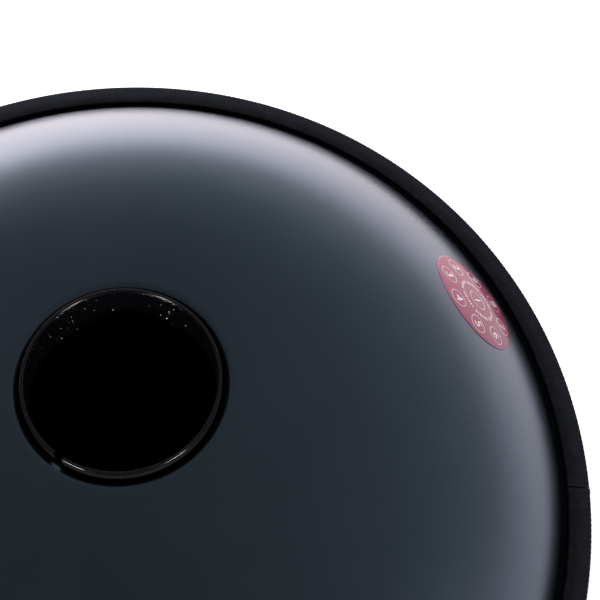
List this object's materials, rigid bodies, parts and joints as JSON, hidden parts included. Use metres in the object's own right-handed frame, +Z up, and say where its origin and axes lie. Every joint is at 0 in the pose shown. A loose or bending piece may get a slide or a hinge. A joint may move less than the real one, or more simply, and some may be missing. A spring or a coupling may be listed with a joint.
{
  "type": "handpan",
  "caption": "Handpan lying port side up: glued pair of steel domes, ribbed rim edging, split port hoop, round label and tone fields beneath.",
  "frame": {"origin": "centre of the flat ring round the ding, which the instrument rests on", "axes": "+Z up along the axis from the ding to the port, +Y away from a player who faces the lowest tone field, +X to their right"},
  "size_m": [0.55, 0.55, 0.2479],
  "materials": {
    "nitrided_steel": "dark blue-grey nitrided sheet, satin",
    "ribbed_rubber": "matt black with fine cross ribs",
    "gloss_edging": "gloss black, pebble grain on the inner wall",
    "label_vinyl": "gloss pink vinyl with white rings",
    "cured_glue": "dark cured adhesive"
  },
  "bodies": {
    "root": {"ding_shell": "nitrided_steel", "port_shell": "nitrided_steel", "seam_adhesive": "cured_glue", "rim_trim": "ribbed_rubber", "port_trim": "gloss_edging", "note_label": "label_vinyl"}
  },
  "joints": []
}
